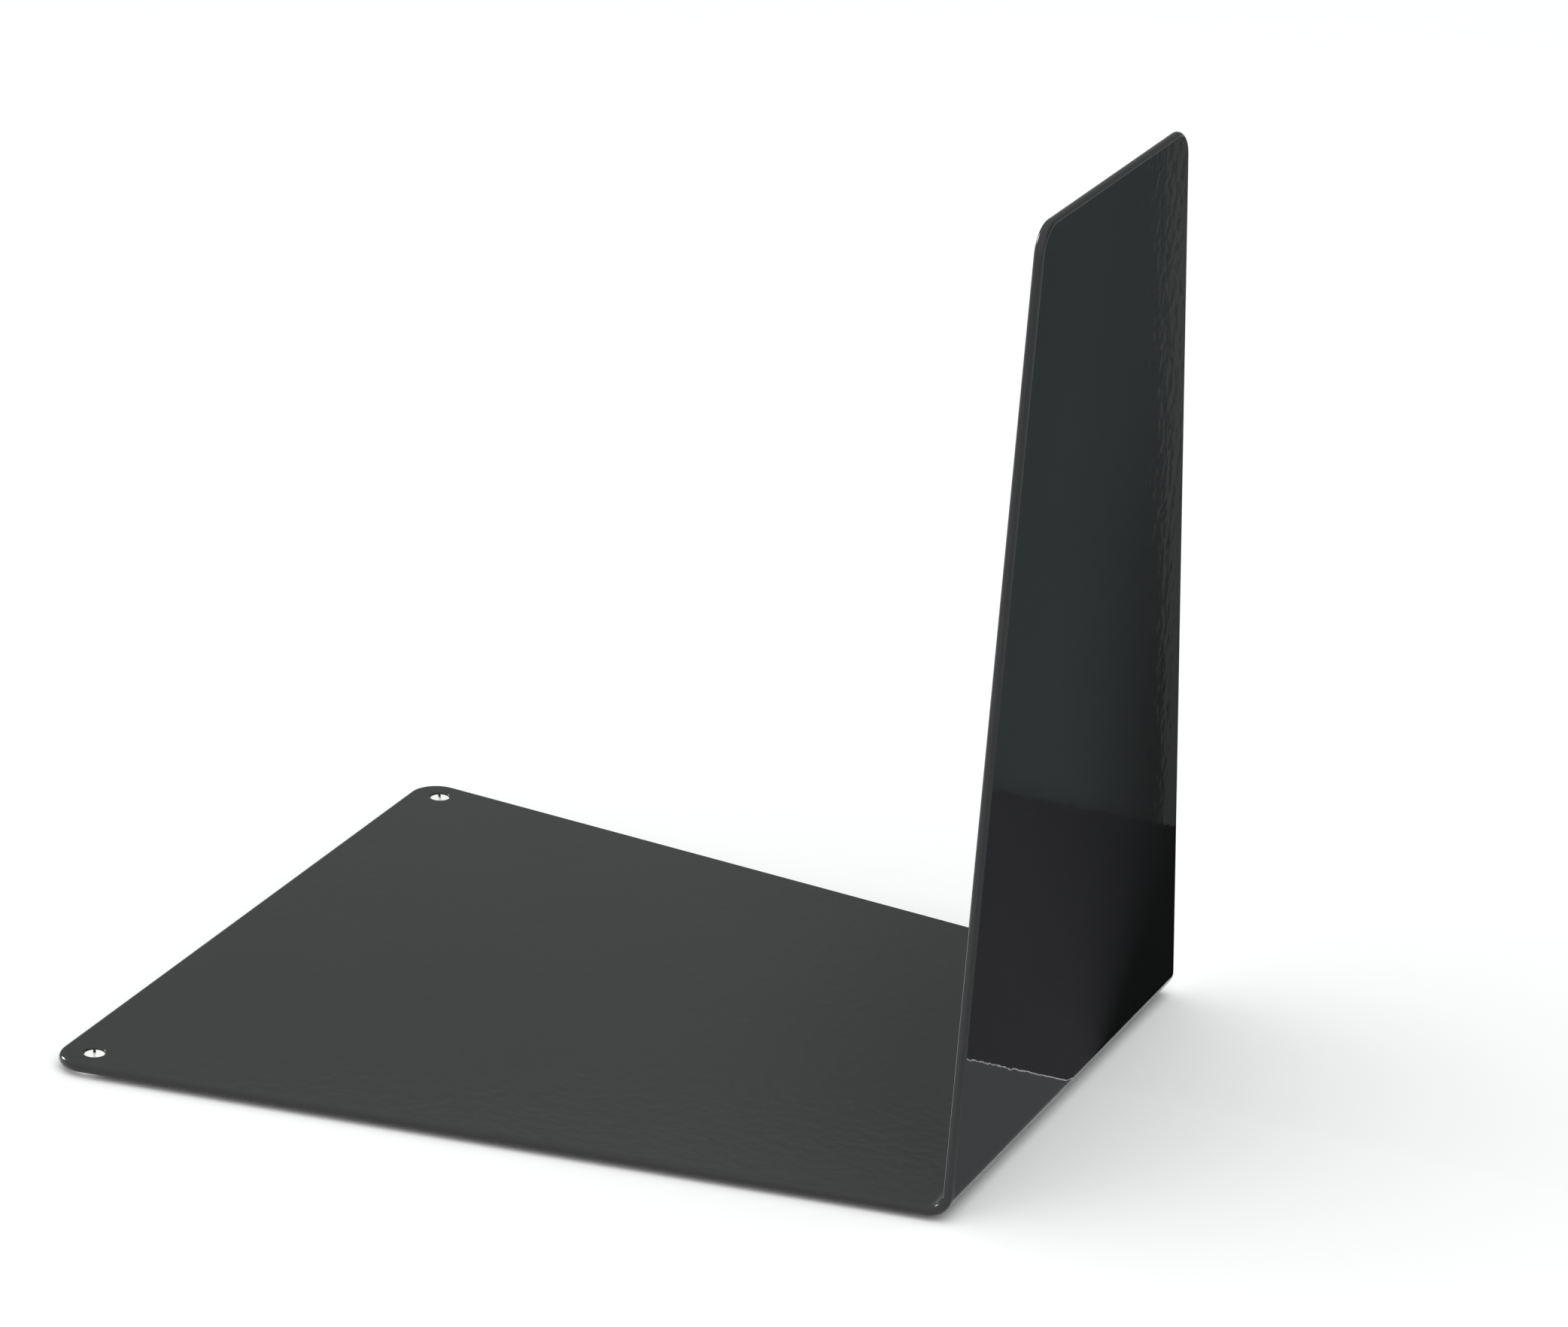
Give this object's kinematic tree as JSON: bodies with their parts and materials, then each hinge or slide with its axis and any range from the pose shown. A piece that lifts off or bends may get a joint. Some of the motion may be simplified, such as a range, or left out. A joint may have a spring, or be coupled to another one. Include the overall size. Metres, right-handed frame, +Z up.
{
  "type": "book end",
  "caption": "Book end folded square from one tapered steel sheet with a glossy coat; wide base under the books, narrow upright beside them, on small feet.",
  "frame": {"origin": "middle of the bounding box at its lowest level, which is the shelf surface the feet and pads stand on", "axes": "+X from the free edge of the base to the upright, +Y across the sheet, +Z up along the upright"},
  "size_m": [0.15, 0.1326, 0.1561],
  "materials": {
    "coated_steel": "glossy black-grey coat with fine orange peel; most of its tone is reflection",
    "foot_plastic": "soft white plastic",
    "pad_rubber": "matt; guessed, the pads are not visible"
  },
  "bodies": {
    "root": {"folded_sheet": "coated_steel", "near_push_in_foot": "foot_plastic", "far_push_in_foot": "foot_plastic", "near_bend_pad": "pad_rubber", "far_bend_pad": "pad_rubber"}
  },
  "joints": []
}
